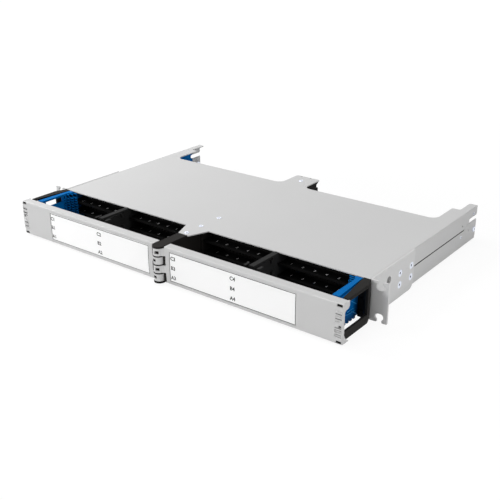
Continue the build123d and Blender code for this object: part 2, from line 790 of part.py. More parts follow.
# End wall whose back edge sweeps in from the two flanges
def door_end():
    front = door_edge_y + door_wall - 1.0
    shallow = door_edge_y + door_end_shallow
    low_turn = (shallow + 2.8, door_low + 4.6)
    middle = (shallow + 3.6, door_high - 7.7)
    outline = Curve([
        Line((front, door_low), (door_end_back, door_low)),
        Line((door_end_back, door_low), (door_end_back, door_low + 0.6)),
        ThreePointArc((door_end_back, door_low + 0.6), low_turn, (shallow, door_low + 9.6)),
        Line((shallow, door_low + 9.6), (shallow, door_high - 10.6)),
        ThreePointArc((shallow, door_high - 10.6), (shallow + 1.0, door_high - 8.6), middle),
        ThreePointArc(middle, (door_end_back - 1.3, door_high - 6.6), (door_end_back, door_high - 4.2)),
        Line((door_end_back, door_high - 4.2), (door_end_back, door_high)),
        Line((door_end_back, door_high), (front, door_high)),
        Line((front, door_high), (front, door_low)),
    ])
    end = make_face(Plane.YZ * outline)
    return Pos(door_half_span - door_end_wall, 0, 0) * extrude(end, door_end_wall, dir=(1, 0, 0))


# Every second knuckle belongs to this door, with the web that ties it to the face
def add_knuckles(shape):
    back = door_edge_y + door_wall
    for index in range(knuckle_count):
        low, high = knuckle_span(index)
        middle = (low + high) / 2
        if index % 2 == 0:
            web = plate([
                (1.6, hinge_y - 5.6), (door_inner_x + 0.6, door_edge_y - 0.2),
                (door_inner_x + 4.0, door_edge_y + 0.6), (door_inner_x + 4.0, back), (0, back + 0.6),
            ], low, high)
            shape = shape + Pos(0, hinge_y, middle) * Cylinder(knuckle_radius, high - low) + web
            shape = shape - box(knuckle_hole_start, knuckle_hole_start + knuckle_hole_width,
                                hinge_y - 2 * knuckle_radius, hinge_y - pin_radius,
                                middle - knuckle_hole_height / 2, middle + knuckle_hole_height / 2)
        else:
            shape = shape - box(0, door_notch_x, hinge_y - 10, hinge_y + 8,
                                low - knuckle_gap, high + knuckle_gap)
    return shape - Pos(0, hinge_y, door_mid) * Cylinder(pin_radius + pin_running, 2 * door_high)


# Finger grip: ridges above a half-round lip, grooves and a peg hole below it
def add_grip(shape):
    for drop in ridge_drops:
        top = door_high - drop
        shape = shape + arc_band(grip_x + 0.6, grip_end, top - ridge_height, top, -ridge_rise, 0.5)
    lip_x = door_half_span - lip_x_room
    lip_z = door_low + lip_low
    lip_y = face_y(door_mid) - lip_rise + lip_radius
    lip = Pos(lip_x, lip_y, lip_z + lip_height / 2) * Cylinder(lip_radius, lip_height)
    shape = shape + (lip & box(lip_x - lip_radius, lip_x + lip_radius, door_edge_y - 9, door_edge_y + 0.5,
                               lip_z, lip_z + lip_height))
    for z0, z1 in groove_spans:
        shape = shape - arc_band(grip_x, grip_end, door_low + z0, door_low + z1, -3.0, groove_depth)
    peg_end = grip_end - 0.3
    return shape - box(peg_end - peg_hole_width, peg_end, door_edge_y - 5, door_edge_y + 5,
                       door_low + peg_hole_low, door_low + peg_hole_low + peg_hole_height)


def door():
    shape = arc_band(door_inner_x, door_half_span, door_low, door_high, 0, door_wall)
    flange_front = face_y(door_low) + 0.8
    for z in (door_low, door_high - door_flange):
        shape = shape + box(door_inner_x, door_half_span, flange_front, door_flange_back,
                            z, z + door_flange)
    shape = shape + door_end()
    edges = [edge for edge in shape.edges().filter_by(Axis.X)
             if edge.center().Y < door_edge_y + 0.05 and edge.length > (door_half_span - door_inner_x) / 2]
    shape = fillet(edges, door_corner_radius)
    for offset in door_rib_offsets:
        x = mid_x + offset
        shape = shape + box(x, x + 1.4, face_y(door_low) + 1.0, door_edge_y + door_rib_depth, door_low + 0.5,
                            door_high - 0.5)
    shape = add_knuckles(shape)
    # Recess for the label and the two latch slots
    shape = shape - arc_band(label_left_x - label_gap, label_right_x + label_gap, label_low - label_gap,
                             label_high + label_gap, -3.0, label_recess)
    for z0 in (door_low + slot_inset, door_high - slot_inset - slot_height):
        shape = shape - box(slot_x - slot_length / 2, slot_x + slot_length / 2, door_edge_y - 5,
                            door_edge_y + 5, z0, z0 + slot_height)
    return add_grip(shape)


def label():
    return arc_band(label_left_x, label_right_x, label_low, label_high, label_recess - label_thickness,
                    label_recess)


# The left door is the right door turned over about the Y axis
def turned(shape):
    return Pos(0, 0, door_mid) * Rot(0, 180, 0) * Pos(0, 0, -door_mid) * shape


def write_pair(name, shape):
    write(name + "_right", shape)
    write(name + "_left", mirrored(shape))


write("base_tray", base_tray())
write("top_cover", top_cover())
write_pair("ear", ear())
write("ear_screws_right", Compound(children=ear_screws()))
write("ear_screws_left", Compound(children=[mirrored(screw) for screw in ear_screws()]))
write("cover_screws", Compound(children=cover_screws()))
write("side_screws", Compound(children=side_screws()))
write("centre_divider", centre_divider())
write("hinge_bracket", hinge_bracket())
write("hinge_pin", hinge_pin())
write_pair("mid_divider", mid_divider())
write_pair("side_guide", side_guide())
write_pair("side_arm", side_arm())

for tier in range(tier_count):
    row = "abc"[tier]
    inner = module(0, tier)
    outer = module(1, tier)
    write("module_1" + row, mirrored(outer))
    write("module_2" + row, mirrored(inner))
    write("module_3" + row, inner)
    write("module_4" + row, outer)

right_door = door()
write("door_right", right_door)
write("door_left", turned(right_door))
write("label_right", label())
write("label_left", turned(label()))
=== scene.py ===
import math
import bpy
from mathutils import Matrix, Vector


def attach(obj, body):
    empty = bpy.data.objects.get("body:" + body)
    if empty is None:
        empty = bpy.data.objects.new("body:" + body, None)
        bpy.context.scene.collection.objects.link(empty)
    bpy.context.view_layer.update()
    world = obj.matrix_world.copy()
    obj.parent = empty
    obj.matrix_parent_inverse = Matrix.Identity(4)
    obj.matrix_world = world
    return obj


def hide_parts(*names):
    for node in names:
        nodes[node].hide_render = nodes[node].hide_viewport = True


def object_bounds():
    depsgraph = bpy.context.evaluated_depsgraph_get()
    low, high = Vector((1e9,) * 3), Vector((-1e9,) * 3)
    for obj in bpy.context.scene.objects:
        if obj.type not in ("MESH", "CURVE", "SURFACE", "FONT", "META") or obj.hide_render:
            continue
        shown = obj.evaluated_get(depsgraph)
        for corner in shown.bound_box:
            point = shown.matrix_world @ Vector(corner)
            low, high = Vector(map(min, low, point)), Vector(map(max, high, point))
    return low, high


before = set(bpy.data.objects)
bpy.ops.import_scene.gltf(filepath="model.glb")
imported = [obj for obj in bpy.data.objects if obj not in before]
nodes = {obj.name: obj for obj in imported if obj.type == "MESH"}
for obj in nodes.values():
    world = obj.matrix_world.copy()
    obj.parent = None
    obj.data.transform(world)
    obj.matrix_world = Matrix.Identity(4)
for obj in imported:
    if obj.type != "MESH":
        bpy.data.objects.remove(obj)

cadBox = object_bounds()   # the solids' box, before anything is added
mm = 0.001
sides = ((-1, "Left"), (1, "Right"))
doors = (("Right", "right_door", 1), ("Left", "left_door", -1))


# sRGB hex to the linear values that Blender's sockets hold
def hexLinear(text, alpha=1.0):
    channels = [int(text[i:i + 2], 16) / 255 for i in (1, 3, 5)]
    linear = [c / 12.92 if c <= 0.04045 else ((c + 0.055) / 1.055) ** 2.4 for c in channels]
    return (*linear, alpha)


# Adds one node, sets its fields and sockets, and makes its links
def addNode(tree, kind, fields=None, values=None, links=None):
    node = tree.nodes.new(kind)
    for key, value in (fields or {}).items():
        setattr(node, key, value)
    for key, value in (values or {}).items():
        node.inputs[key].default_value = value
    for key, source in (links or {}).items():
        tree.links.new(source, node.inputs[key])
    return node


# What all finishes share: how rough the two noises are, how far the gloss swings, and the plain shine
surface = dict(driftDetail=3.0, driftRough=0.5, grainDetail=2.0, grainRough=0.6, grainLow=0.3, grainHigh=0.7,
               glossSwing=0.05, edgeSamples=6, shine=0.4)


# One finish: a base colour with slight tone drift, fine grain as bump, and softly broken edges
def makeFinish(look):
    material = bpy.data.materials.new(look["name"])
    material.use_nodes = True
    tree = material.node_tree
    tree.nodes.clear()
    place = addNode(tree, "ShaderNodeTexCoord").outputs["Object"]
    drift = addNode(tree, "ShaderNodeTexNoise", values={
        "Scale": 1 / (look["driftMm"] * mm), "Detail": surface["driftDetail"], "Roughness": surface["driftRough"],
    }, links={"Vector": place})
    tone = addNode(tree, "ShaderNodeMix", {"data_type": "RGBA"},
                   {6: hexLinear(look["dark"]), 7: hexLinear(look["light"])}, {0: drift.outputs["Fac"]})
    colour = tone.outputs[2]
    # painted shade over the seam, for the finish that has one
    if "gap" in look:
        colour = paintSeamShade(tree, place, colour, look["gap"])
    grain = addNode(tree, "ShaderNodeTexNoise", values={
        "Scale": 1 / (look["grainMm"] * mm), "Detail": surface["grainDetail"], "Roughness": surface["grainRough"],
    }, links={"Vector": place})
    gloss = addNode(tree, "ShaderNodeMapRange", values={
        "From Min": surface["grainLow"], "From Max": surface["grainHigh"],
        "To Min": look["rough"] - surface["glossSwing"], "To Max": look["rough"] + surface["glossSwing"],
    }, links={"Value": grain.outputs["Fac"]})
    edge = addNode(tree, "ShaderNodeBevel", {"samples": surface["edgeSamples"]}, {"Radius": look["edgeMm"] * mm})
    bump = addNode(tree, "ShaderNodeBump", values={"Strength": look["bump"], "Distance": look["depthMm"] * mm},
                   links={"Height": grain.outputs["Fac"], "Normal": edge.outputs["Normal"]})
    shader = addNode(tree, "ShaderNodeBsdfPrincipled", values={
        "Metallic": look["metal"], "IOR": look["ior"], "Specular IOR Level": look.get("shine", surface["shine"]),
    }, links={"Base Color": colour, "Roughness": gloss.outputs["Result"], "Normal": bump.outputs["Normal"]})
    addNode(tree, "ShaderNodeOutputMaterial", links={"Surface": shader.outputs["BSDF"]})
    return material


# Painted shade over the seam between cover and tray: the coat is coloured dark over the seam's height and length on
# both sides
def paintSeamShade(tree, place, colour, gap):
    axes = addNode(tree, "ShaderNodeSeparateXYZ", links={"Vector": place})
    fromMiddle = addNode(tree, "ShaderNodeMath", {"operation": "ABSOLUTE"}, links={0: axes.outputs["X"]})
    beyond = addNode(tree, "ShaderNodeMath", {"operation": "GREATER_THAN"}, {1: gap["fromX"] * mm},
                     {0: fromMiddle.outputs[0]})
    level = addNode(tree, "ShaderNodeMath", {"operation": "COMPARE"},
                    {1: gap["z"] * mm, 2: gap["halfHeight"] * mm}, {0: axes.outputs["Z"]})
    along = addNode(tree, "ShaderNodeMath", {"operation": "COMPARE"},
                    {1: gap["y"] * mm, 2: gap["halfLength"] * mm}, {0: axes.outputs["Y"]})
    both = addNode(tree, "ShaderNodeMath", {"operation": "MULTIPLY"}, links={0: beyond.outputs[0], 1: level.outputs[0]})
    mask = addNode(tree, "ShaderNodeMath", {"operation": "MULTIPLY"}, links={0: both.outputs[0], 1: along.outputs[0]})
    mixed = addNode(tree, "ShaderNodeMix", {"data_type": "RGBA"}, {7: hexLinear(gap["tone"])},
                    {0: mask.outputs[0], 6: colour})
    return mixed.outputs[2]


# driftMm is how long the soft changes of tone are, and grainMm how wide a grain is. Real moulded grain is 0.1 to
# 0.3 mm wide, and is drawn coarser here so that it shows
finishes = {
    # Powder coat baked on steel: even, satin, a faint orange peel about a millimetre across
    "coat": dict(name="powderCoatedSteel", light="#C6C6C6", dark="#C3C3C3", driftMm=60, grainMm=1.1, rough=0.42,
                 bump=0.08, depthMm=0.03, metal=0.0, ior=1.45, edgeMm=0.35,
                 # gap: painted shade along the seam between cover and tray, on both sides
                 gap=dict(fromX=216.5, z=21.0, halfHeight=0.75, y=157.0, halfLength=65.0, tone="#161616")),
    # The ears' coat is a touch lighter than the cover's
    "earCoat": dict(name="powderCoatedEarSteel", light="#D0D0D0", dark="#CCCCCC", driftMm=40, grainMm=1.1, rough=0.45,
                    bump=0.08, depthMm=0.03, metal=0.0, ior=1.45, edgeMm=0.35),
    # ABS moulded in a spark-eroded tool: soft sheen with a fine even grain
    "doorAbs": dict(name="sparkTexturedAbs", light="#C4C4C4", dark="#C0C0C0", driftMm=50, grainMm=0.7, rough=0.5,
                    bump=0.07, depthMm=0.02, metal=0.0, ior=1.48, edgeMm=0.4),
    # Glass-filled nylon moulded in black: dull, with a light bloom on its edges
    "blackNylon": dict(name="mouldedBlackNylon", light="#211F1E", dark="#1B1A19", driftMm=30, grainMm=0.8, rough=0.55,
                       bump=0.12, depthMm=0.02, metal=0.0, ior=1.4, edgeMm=0.35, shine=0.07),
    # The mid dividers come from another batch, a shade greyer
    "greyNylon": dict(name="mouldedGreyNylon", light="#2A2A2A", dark="#242424", driftMm=30, grainMm=0.8, rough=0.55,
                      bump=0.12, depthMm=0.02, metal=0.0, ior=1.4, edgeMm=0.35, shine=0.07),
    # Polycarbonate moulded in black: the darkest, and nearly without shine in the depth of the bays
    "moduleBlack": dict(name="mouldedBlackPolycarbonate", light="#171717", dark="#121212", driftMm=30, grainMm=0.8,
                        rough=0.5, bump=0.10, depthMm=0.02, metal=0.0, ior=1.4, edgeMm=0.25, shine=0.03),
    # The side arms are the same nylon with less shine; the same finish colours the dark pieces that stand as painted
    # shade in the hinge, the knuckle windows, the peg hole and the latch slots
    "deepNylon": dict(name="mouldedDeepNylon", light="#282726", dark="#222120", driftMm=30, grainMm=0.8, rough=0.5,
                      bump=0.12, depthMm=0.02, metal=0.0, ior=1.4, edgeMm=0.4, shine=0.04),
    # ABS moulded in blue from a plain tool: full colour, with little white in its sheen
    "blueAbs": dict(name="mouldedBlueAbs", light="#036AB4", dark="#0264AA", driftMm=40, grainMm=0.9, rough=0.42,
                    bump=0.06, depthMm=0.02, metal=0.0, ior=1.45, edgeMm=0.35, shine=0.02),
    # The same blue lightened as a painted highlight on the ribs' crests, and darkened as painted shade on the comb
    # plates behind the teeth
    "ribHighlightBlue": dict(name="paintedRibHighlightAbs", light="#3C9AE0", dark="#3592D6", driftMm=20, grainMm=0.9, rough=0.3,
                     bump=0.04, depthMm=0.01, metal=0.0, ior=1.45, edgeMm=0.15, shine=0.3),
    "combShadeBlue": dict(name="paintedCombShadeAbs", light="#011E36", dark="#011A30", driftMm=20, grainMm=0.9, rough=0.5,
                     bump=0.06, depthMm=0.02, metal=0.0, ior=1.45, edgeMm=0.15, shine=0.02),
    # Zinc plate with a blue passivate: bright, slightly cold metal
    "zinc": dict(name="zincPlatedSteel", light="#E6EAF4", dark="#D8DEEC", driftMm=6, grainMm=0.3, rough=0.28,
                 bump=0.04, depthMm=0.01, metal=1.0, ior=1.5, edgeMm=0.15),
    # Painted shade in the screw sockets and the rivets' eyes: a dark dull metal on their walls and floors
    "socket": dict(name="paintedSocketShade", light="#3C4250", dark="#2E3340", driftMm=2, grainMm=0.3, rough=0.6,
                   bump=0.05, depthMm=0.01, metal=0.6, ior=1.5, edgeMm=0.05),
    # Card printed white under a matt film
    "card": dict(name="filmedCard", light="#F6F6F6", dark="#F4F4F4", driftMm=80, grainMm=0.5, rough=0.45,
                 bump=0.02, depthMm=0.005, metal=0.0, ior=1.4, edgeMm=0.1),
    # Painted shade: a flat grey for the wall behind the ear's window
    "shadeGrey": dict(name="paintedWindowShade", light="#8A8A8A", dark="#808080", driftMm=10, grainMm=0.6, rough=0.6,
                      bump=0.05, depthMm=0.01, metal=0.0, ior=1.4, edgeMm=0.1),
    # Painted shade on the doors' ABS in the corners of the grip's grooves and under its ridges
    "gripShadeAbs": dict(name="paintedGripShadeAbs", light="#646464", dark="#5C5C5C", driftMm=10, grainMm=0.7, rough=0.6,
                      bump=0.05, depthMm=0.01, metal=0.0, ior=1.48, edgeMm=0.1),
    # Dark ink printed on the cards, and pale ink stamped on the module shelves: flat and matt
    "darkInk": dict(name="printedDarkInk", light="#2A2A2A", dark="#262626", driftMm=5, grainMm=0.3, rough=0.6,
                    bump=0.02, depthMm=0.003, metal=0.0, ior=1.4, edgeMm=0.02),
    "paleInk": dict(name="stampedPaleInk", light="#F2F2F2", dark="#EAEAEA", driftMm=5, grainMm=0.3, rough=0.6,
                    bump=0.02, depthMm=0.003, metal=0.0, ior=1.4, edgeMm=0.02),
}
made = {key: makeFinish(look) for key, look in finishes.items()}
worn = {
    "coat": ["base_tray", "top_cover"],
    "earCoat": ["ear_left", "ear_right"],
    "doorAbs": ["door_left", "door_right"],
    "blackNylon": ["centre_divider", "hinge_bracket"],
    "deepNylon": ["side_arm_left", "side_arm_right"],
    "greyNylon": ["mid_divider_left", "mid_divider_right"],
    "blueAbs": ["side_guide_left", "side_guide_right"],
    "zinc": ["ear_screws_left", "ear_screws_right", "cover_screws", "side_screws", "hinge_pin"],
    "card": ["label_left", "label_right"],
    "moduleBlack": [name for name in nodes if name.startswith("module_")],
}
for key, names in worn.items():
    for name in names:
        slots = nodes[name].data.materials
        slots.clear()
        slots.append(made[key])
print("finishes on", sum(len(names) for names in worn.values()), "solids")


# Points and faces of a piece in the making, with the number of its finish on each face
def newShape():
    return dict(points=[], faces=[], kinds=[])


# Adds points given in millimetres, turned and moved by a matrix if there is one, and says where they start
def addPoints(shape, points, place=Matrix()):
    start = len(shape["points"])
    shape["points"] += [place @ (Vector(point) * mm) for point in points]
    return start


def addFace(shape, corners, kind):
    shape["faces"].append(tuple(corners))
    shape["kinds"].append(kind)


# Joins two rings of equal length with quads
def bridge(shape, first, second, count, kind):
    for i in range(count):
        j = (i + 1) % count
        addFace(shape, (first + i, first + j, second + j, second + i), kind)


# A closed block between two corners
def addBlock(shape, xs, ys, zs, kind):
    (x0, x1), (y0, y1), (z0, z1) = sorted(xs), sorted(ys), sorted(zs)
    start = addPoints(shape, [(x, y, z) for z in (z0, z1) for x, y in ((x0, y0), (x1, y0), (x1, y1), (x0, y1))])
    boxFaces(shape, start, kind)


# The six faces between two rings of four points
def boxFaces(shape, start, kind):
    for corners in ((0, 3, 2, 1), (4, 5, 6, 7), (0, 1, 5, 4), (1, 2, 6, 5), (2, 3, 7, 6), (3, 0, 4, 7)):
        addFace(shape, [start + corner for corner in corners], kind)


# A ring of points round Z at one height, round or cut to a number of flats
def ringPoints(radius, height, count, flats=0):
    points = []
    for i in range(count):
        angle = 2 * math.pi * i / count
        reach = radius
        if flats:
            half = math.pi / flats
            reach = radius * math.cos(half) / math.cos(angle % (2 * half) - half)
        points.append((reach * math.cos(angle), reach * math.sin(angle), height))
    return points


# Turns a piece made along Z so that it faces out of the left (-1) or right (1) side
def outward(x, y, z, side):
    turn = Matrix.Rotation(side * math.pi / 2, 4, "Y")
    return Matrix.Translation(Vector((side * x, y, z)) * mm) @ turn


# Makes the object with its finishes, and lets it ride on a body
def addPiece(name, body, shape, keys):
    mesh = bpy.data.meshes.new(name)
    mesh.from_pydata(shape["points"], [], shape["faces"])
    for key in keys:
        mesh.materials.append(made[key])
    for face, kind in zip(mesh.polygons, shape["kinds"]):
        face.material_index = kind
    mesh.update()
    piece = bpy.data.objects.new(name, mesh)
    bpy.context.scene.collection.objects.link(piece)
    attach(piece, body)
    return piece


# Countersunk screws of the ears, flush with the ear's outer face
earScrew = dict(x=222.45, ys=(60.0, 84.6), zs=(13.1, 26.3), shank=1.85, length=8.0, under=2.0, neck=1.9, head=4.0,
                rise=0.0, broken=0.12, land=0.05, socket=1.35, deep=1.3)
# Low pan heads along the middle of the cover
coverScrew = dict(z=42.0, ys=(-17.9, 6.7, 38.2, 205.1), shank=1.4, length=6.0, under=0.0, neck=2.8, head=2.8,
                  rise=0.6, broken=0.2, land=0.3, socket=1.05, deep=0.5)
# Rear side screws, each with a hexagon nut behind the wall
sideScrew = dict(x=220.5, y=249.5, z=13.6, shank=1.9, length=3.7, under=0.0, neck=3.2, head=3.2, rise=1.6,
                 broken=0.5, land=0.8, socket=1.3, deep=1.2, nut=4.0, nutFrom=-1.2, nutTo=-3.2)
screwMake = dict(steps=24, flats=6, socketRim=0.25, socketBevel=0.2)


# Screw along its own axis: shank, head with a broken edge, and a hexagon socket with a floor
def addScrew(shape, size, place):
    count = screwMake["steps"]
    edge = size["rise"] - size["broken"]
    profile = [(size["shank"], -size["length"]), (size["shank"], -size["under"]), (size["neck"], -size["under"]),
               (size["head"], edge - size["land"]), (size["head"], edge),
               (size["head"] - size["broken"], size["rise"]), (size["socket"] + screwMake["socketRim"], size["rise"])]
    rings = [addPoints(shape, ringPoints(radius, height, count), place) for radius, height in profile]
    for drop in (screwMake["socketBevel"], size["deep"]):
        ring = ringPoints(size["socket"], size["rise"] - drop, count, screwMake["flats"])
        rings.append(addPoints(shape, ring, place))
    for k, (lower, upper) in enumerate(zip(rings, rings[1:])):
        bridge(shape, lower, upper, count, 1 if k == len(rings) - 2 else 0)
    addFace(shape, reversed(range(rings[0], rings[0] + count)), 0)
    addFace(shape, range(rings[-1], rings[-1] + count), 1)


for side, word in sides:
    shape = newShape()
    for y in earScrew["ys"]:
        for z in earScrew["zs"]:
            addScrew(shape, earScrew, outward(earScrew["x"], y, z, side))
    piece = addPiece("earScrews" + word, "chassis", shape, ["zinc", "socket"])
    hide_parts("ear_screws_" + word.lower())

shape = newShape()
for y in coverScrew["ys"]:
    addScrew(shape, coverScrew, Matrix.Translation(Vector((0, y, coverScrew["z"])) * mm))
piece = addPiece("coverScrews", "chassis", shape, ["zinc", "socket"])
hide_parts("cover_screws")

shape = newShape()
for side in (-1, 1):
    place = outward(sideScrew["x"], sideScrew["y"], sideScrew["z"], side)
    addScrew(shape, sideScrew, place)
    flats = screwMake["flats"]
    near = addPoints(shape, ringPoints(sideScrew["nut"], sideScrew["nutFrom"], flats), place)
    far = addPoints(shape, ringPoints(sideScrew["nut"], sideScrew["nutTo"], flats), place)
    bridge(shape, far, near, flats, 0)
    addFace(shape, range(near, near + flats), 0)
    addFace(shape, reversed(range(far, far + flats)), 0)
piece = addPiece("sideScrews", "chassis", shape, ["zinc", "socket"])
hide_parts("side_screws")
print("screws made")

# Blind rivets in the sides: a flat ring with the broken mandrel in its eye
rivet = dict(x=220.5, places=((214.5, 14.3), (247.0, 34.0)), outer=1.7, eye=0.75, rise=0.3, sunk=0.2, edge=0.12,
             slope=0.3, mandrel=0.05, steps=20)
shape = newShape()
for side in (-1, 1):
    for y, z in rivet["places"]:
        place = outward(rivet["x"], y, z, side)
        profile = ((rivet["outer"], -rivet["sunk"]), (rivet["outer"], rivet["edge"]),
                   (rivet["outer"] - rivet["slope"], rivet["rise"]), (rivet["eye"], rivet["rise"]),
                   (rivet["eye"], rivet["mandrel"]))
        rings = [addPoints(shape, ringPoints(radius, height, rivet["steps"]), place) for radius, height in profile]
        for k, (lower, upper) in enumerate(zip(rings, rings[1:])):
            bridge(shape, lower, upper, rivet["steps"], 1 if k == len(rings) - 2 else 0)
        addFace(shape, range(rings[-1], rings[-1] + rivet["steps"]), 1)
addPiece("sideRivets", "chassis", shape, ["zinc", "socket"])
print("rivets set")

# Door face: an arc over the door's height
doorFace = dict(edgeY=-62.4, bulge=0.8, low=0.4, high=42.6)


# How far back the face lies at a height, pushed in by a depth
def doorY(z, depth):
    halfTall = (doorFace["high"] - doorFace["low"]) / 2
    radius = (halfTall ** 2 + doorFace["bulge"] ** 2) / (2 * doorFace["bulge"])
    centre = doorFace["edgeY"] - doorFace["bulge"] + radius
    return centre - math.sqrt((radius - depth) ** 2 - (z - (doorFace["low"] + doorFace["high"]) / 2) ** 2)


# Capitals take this share of the type size, and their strokes are fattened a little as ink spreads
lettering = dict(capShare=0.73, spread=0.03, curveSteps=2)


# The outline of a word as flat faces in millimetres, its middle at the origin
def wordMesh(text, height):
    curve = bpy.data.curves.new("word", "FONT")
    curve.body = text
    curve.size = height / lettering["capShare"]
    curve.align_x = "CENTER"
    curve.align_y = "CENTER"
    curve.resolution_u = lettering["curveSteps"]
    curve.offset = lettering["spread"] * curve.size
    holder = bpy.data.objects.new("word", curve)
    bpy.context.scene.collection.objects.link(holder)
    bpy.context.view_layer.update()
    mesh = bpy.data.meshes.new_from_object(holder.evaluated_get(bpy.context.evaluated_depsgraph_get()))
    points = [(vertex.co.x, vertex.co.y) for vertex in mesh.vertices]
    outlines = [tuple(face.vertices) for face in mesh.polygons]
    bpy.data.objects.remove(holder)
    bpy.data.curves.remove(curve)
    bpy.data.meshes.remove(mesh)
    return points, outlines


# Lays a word on a surface that is given as a function of its two directions
def addWord(shape, word, onSurface):
    points, outlines = word
    start = addPoints(shape, [onSurface(u, v) for u, v in points])
    for outline in outlines:
        addFace(shape, [start + i for i in outline], 0)


# Card print: tier letters with column numbers, and a thin rule along the card's edge
cards = dict(height=4.3, depth=0.15, lift=0.03, rows=((31.6, "C"), (20.6, "B"), (9.4, "A")), low=4.6, high=38.0,
             rule=0.55, ruleSteps=8)
printing = dict(
    Right=dict(columns=((20.3, "3"), (100.6, "4")), near=15.5, far=177.4),
    Left=dict(columns=((-173.4, "1"), (-93.5, "2")), near=-177.4, far=-15.5),
)
for word, body, turn in doors:
    card = printing[word]
    depth = cards["depth"] - cards["lift"]
    low, high, rule = cards["low"], cards["high"], cards["rule"]
    shape = newShape()
    for x, number in card["columns"]:
        for z, letter in cards["rows"]:
            addWord(shape, wordMesh(letter + number, cards["height"]), lambda u, v: (x + u, doorY(z + v, depth), z + v))
    levels = [low + (high - low) * i / cards["ruleSteps"] for i in range(cards["ruleSteps"] + 1)]
    strips = [(x0, x0 + rule, z0, z1) for x0 in (card["near"], card["far"] - rule)
              for z0, z1 in zip(levels, levels[1:])]
    strips += [(card["near"], card["far"], z0, z0 + rule) for z0 in (low, high - rule)]
    for x0, x1, z0, z1 in strips:
        start = addPoints(shape, [(x, doorY(z, depth), z) for x, z in ((x0, z0), (x1, z0), (x1, z1), (x0, z1))])
        addFace(shape, range(start, start + 4), 0)
    addPiece("cardPrint" + word, body, shape, ["darkInk"])
print("cards printed")

# Ports of the modules, four columns by three shelves, with numbers on the shelves in front of them
ports = dict(middles=(-160.6, -59.4, 59.4, 160.6), shelves=(2.9, 16.2, 29.5), pitch=14.5, count=6)
portNumber = dict(y=6.0, height=3.5, lift=0.03)
portX = [(index - (ports["count"] - 1) / 2) * ports["pitch"] for index in range(ports["count"])]
digits = [wordMesh(str(index + 1), portNumber["height"]) for index in range(ports["count"])]
shape = newShape()
for middle in ports["middles"]:
    for z in ports["shelves"]:
        for offset, digit in zip(portX, digits):
            addWord(shape, digit, lambda u, v: (middle + offset + u, portNumber["y"] + v, z + portNumber["lift"]))
addPiece("portNumbers", "chassis", shape, ["paleInk"])
print("ports numbered")

# Hinge: black washers between the knuckles, made proud so that they show as painted shade in the gaps, dark liners as
# painted shade in the open corners on the right, and dark backs in the windows
hinge = dict(y=-62.9, count=4, arm=1.8, endGap=0.4, gap=1.3, radius=6.0, pinOuter=1.7, proud=0.35, play=0.03,
             liner=6.25, outer=9.3, linerFrom=-2, linerTo=30, turnSteps=24, partSteps=8,
             windowFrom=-0.8, windowTo=4.2, windowTall=3.4, windowIn=1.6, windowPlay=0.02)
room = doorFace["high"] - doorFace["low"] - 2 * hinge["arm"] - 2 * hinge["endGap"]
tall = (room - (hinge["count"] - 1) * hinge["gap"]) / hinge["count"]
tops = [doorFace["high"] - hinge["arm"] - hinge["endGap"] - i * (tall + hinge["gap"]) for i in range(hinge["count"])]


# A ring or part of one round the hinge pin, closed all round
def addCollar(shape, radii, angles, zs):
    whole = angles[1] - angles[0] >= 360
    steps = hinge["turnSteps"] if whole else hinge["partSteps"]
    (inner, outer), (z0, z1) = radii, zs
    points = []
    for i in range(steps + 1):
        angle = math.radians(angles[0] + (angles[1] - angles[0]) * i / steps)
        for r, z in ((inner, z0), (outer, z0), (outer, z1), (inner, z1)):
            points.append((r * math.cos(angle), hinge["y"] + r * math.sin(angle), z))
    start = addPoints(shape, points)
    for i in range(steps):
        low = start + 4 * i
        for k in range(4):
            j = (k + 1) % 4
            addFace(shape, (low + k, low + 4 + k, low + 4 + j, low + j), 0)
    if not whole:
        addFace(shape, reversed(range(start, start + 4)), 0)
        addFace(shape, range(start + 4 * steps, start + 4 * steps + 4), 0)


shape = newShape()
for top in tops[:-1]:
    addCollar(shape, (hinge["pinOuter"], hinge["radius"] + hinge["proud"]), (0, 360),
              (top - tall - hinge["gap"] + hinge["play"], top - tall - hinge["play"]))
for top in tops[1::2]:
    addCollar(shape, (hinge["liner"], hinge["outer"]), (hinge["linerFrom"], hinge["linerTo"]), (top - tall, top))
addPiece("hingeGapShade", "chassis", shape, ["deepNylon"])

# Duplex adapter in each port: a frame with two keyed openings, and a shutter in each
adapter = dict(face=14.6, back=16.9, wide=12.2, tall=7.2, sill=0.8, opening=4.5, openTall=4.6, openDrop=0.4, post=1.1,
               key=1.8, keyTall=0.9, shutterFrom=0.7, shutterTo=0.3, shutterPlay=0.3)


def addAdapter(shape, x, z):
    face, back = adapter["face"], adapter["back"]
    low = z + adapter["sill"]
    high = low + adapter["tall"]
    holeLow = low + (adapter["tall"] - adapter["openTall"]) / 2 - adapter["openDrop"]
    holeHigh = holeLow + adapter["openTall"]
    keyHigh = holeHigh + adapter["keyTall"]
    left, right = x - adapter["wide"] / 2, x + adapter["wide"] / 2
    halfPost, halfKey, halfHole = adapter["post"] / 2, adapter["key"] / 2, adapter["opening"] / 2
    play = adapter["shutterPlay"]
    addBlock(shape, (left, right), (face, back), (low, holeLow), 0)
    addBlock(shape, (left, right), (face, back), (keyHigh, high), 0)
    addBlock(shape, (x - halfPost, x + halfPost), (face, back), (holeLow, keyHigh), 0)
    for side in (-1, 1):
        centre = x + side * (halfPost + halfHole)
        addBlock(shape, (x + side * (halfPost + adapter["opening"]), x + side * adapter["wide"] / 2), (face, back),
                 (holeLow, keyHigh), 0)
        addBlock(shape, (centre - halfHole, centre - halfKey), (face, back), (holeHigh, keyHigh), 0)
        addBlock(shape, (centre + halfKey, centre + halfHole), (face, back), (holeHigh, keyHigh), 0)
        addBlock(shape, (centre - halfHole + play, centre + halfHole - play),
                 (back - adapter["shutterFrom"], back - adapter["shutterTo"]), (holeLow + play, holeHigh), 1)


shape = newShape()
for middle in ports["middles"]:
    for z in ports["shelves"]:
        for offset in portX:
            addAdapter(shape, middle + offset, z)
addPiece("portAdapters", "chassis", shape, ["blackNylon", "greyNylon"])
print("modules dressed")
